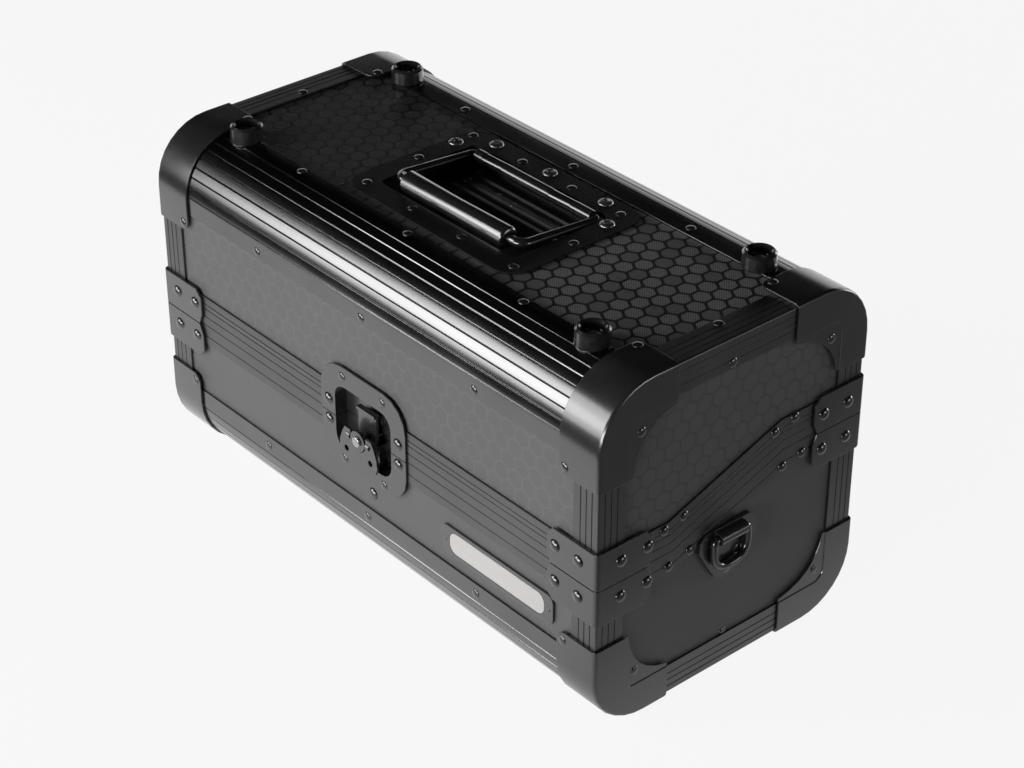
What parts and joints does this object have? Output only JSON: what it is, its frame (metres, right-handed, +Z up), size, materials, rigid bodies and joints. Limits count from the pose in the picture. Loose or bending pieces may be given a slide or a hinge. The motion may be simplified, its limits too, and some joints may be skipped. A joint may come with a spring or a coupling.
{
  "type": "record case",
  "caption": "Lidded carrying case for seven-inch records, with rounded profiles, corner caps, stepped seam, recessed twist latch, fold-down handle, strap rings and lid feet.",
  "frame": {"origin": "middle of the bounding box at the bottom, where the corner caps stand", "axes": "+X along the case to the right seen from the front, -Y out of the front with the latch, +Z up"},
  "size_m": [0.448, 0.2298, 0.2471],
  "materials": {
    "laminate_panel": "charcoal laminate with a fine honeycomb pattern over thin plywood, satin",
    "anodised_profile": "black anodised extrusion, satin",
    "pressed_black_steel": "satin black coated pressing",
    "latch_steel": "dark plated steel with bright rivets",
    "bright_steel": "bright zinc plated steel",
    "black_rod": "gloss black coated round rod",
    "grip_gloss_black": "gloss black moulded grip",
    "foot_rubber": "black moulded rubber, slight sheen",
    "badge_frame": "black satin frame",
    "badge_plate": "pale brushed plate, bare"
  },
  "bodies": {
    "base": {"base_floor_panel": "laminate_panel", "base_front_panel": "laminate_panel", "base_rear_panel": "laminate_panel", "base_left_panel": "laminate_panel", "base_right_panel": "laminate_panel", "base_closing_frame": "anodised_profile", "base_front_profile": "anodised_profile", "base_rear_profile": "anodised_profile", "base_left_end_frame": "anodised_profile", "left_ring_plate": "pressed_black_steel", "base_front_left_cap": "pressed_black_steel", "base_front_left_seam_plate": "pressed_black_steel", "base_rear_left_cap": "pressed_black_steel", "base_rear_left_seam_plate": "pressed_black_steel", "base_right_end_frame": "anodised_profile", "right_ring_plate": "pressed_black_steel", "base_front_right_cap": "pressed_black_steel", "base_front_right_seam_plate": "pressed_black_steel", "base_rear_right_cap": "pressed_black_steel", "base_rear_right_seam_plate": "pressed_black_steel", "badge_frame": "badge_frame", "badge_insert": "badge_plate", "latch_base_dish": "pressed_black_steel", "hinge_base_leaf": "anodised_profile", "hinge_pin": "bright_steel"},
    "lid": {"lid_top_panel": "laminate_panel", "lid_front_panel": "laminate_panel", "lid_rear_panel": "laminate_panel", "lid_left_panel": "laminate_panel", "lid_right_panel": "laminate_panel", "lid_closing_frame": "anodised_profile", "lid_front_profile": "anodised_profile", "lid_rear_profile": "anodised_profile", "lid_left_end_frame": "anodised_profile", "lid_front_left_cap": "pressed_black_steel", "lid_front_left_seam_plate": "pressed_black_steel", "front_left_foot": "foot_rubber", "lid_rear_left_cap": "pressed_black_steel", "lid_rear_left_seam_plate": "pressed_black_steel", "rear_left_foot": "foot_rubber", "lid_right_end_frame": "anodised_profile", "lid_front_right_cap": "pressed_black_steel", "lid_front_right_seam_plate": "pressed_black_steel", "front_right_foot": "foot_rubber", "lid_rear_right_cap": "pressed_black_steel", "lid_rear_right_seam_plate": "pressed_black_steel", "rear_right_foot": "foot_rubber", "latch_lid_dish": "pressed_black_steel", "latch_keeper": "pressed_black_steel", "hinge_lid_leaf": "anodised_profile", "handle_dish": "pressed_black_steel"},
    "latch_turner": {"latch_turner": "latch_steel"},
    "latch_wing": {"latch_wing": "latch_steel"},
    "latch_hook": {"latch_hook": "latch_steel"},
    "handle": {"handle_bail": "black_rod", "handle_grip": "grip_gloss_black"},
    "left_ring": {"left_ring": "black_rod"},
    "right_ring": {"right_ring": "black_rod"}
  },
  "joints": [
    {"name": "lid_hinge", "type": "hinge", "parent": "base", "child": "lid", "pos_m": [0, 0.1117, 0.1399], "axis": [-1, 0, 0], "range_deg": [0, 105]},
    {"name": "handle_fold", "type": "hinge", "parent": "lid", "child": "handle", "pos_m": [0, 0.0325, 0.2337], "axis": [-1, 0, 0], "range_deg": [0, 90]},
    {"name": "latch_turn", "type": "hinge", "parent": "base", "child": "latch_turner", "pos_m": [0, -0.1075, 0.1042], "axis": [0, -1, 0], "range_deg": [0, 180]},
    {"name": "wing_fold", "type": "hinge", "parent": "latch_turner", "child": "latch_wing", "pos_m": [0, -0.1123, 0.1042], "axis": [-1, 0, 0], "range_deg": [0, 90]},
    {"name": "hook_slide", "type": "slide", "parent": "base", "child": "latch_hook", "axis": [0, 0, 1], "range_m": [0, 0.006]},
    {"name": "right_ring_swing", "type": "hinge", "parent": "base", "child": "right_ring", "pos_m": [0.2198, -0.0035, 0.1029], "axis": [0, -1, 0], "range_deg": [0, 150]},
    {"name": "left_ring_swing", "type": "hinge", "parent": "base", "child": "left_ring", "pos_m": [-0.2198, -0.0035, 0.1029], "axis": [0, 1, 0], "range_deg": [0, 150]}
  ],
  "couplings": [
    {"joint": "hook_slide", "follows": "latch_turn", "m_per_rad": 0.0019099}
  ]
}
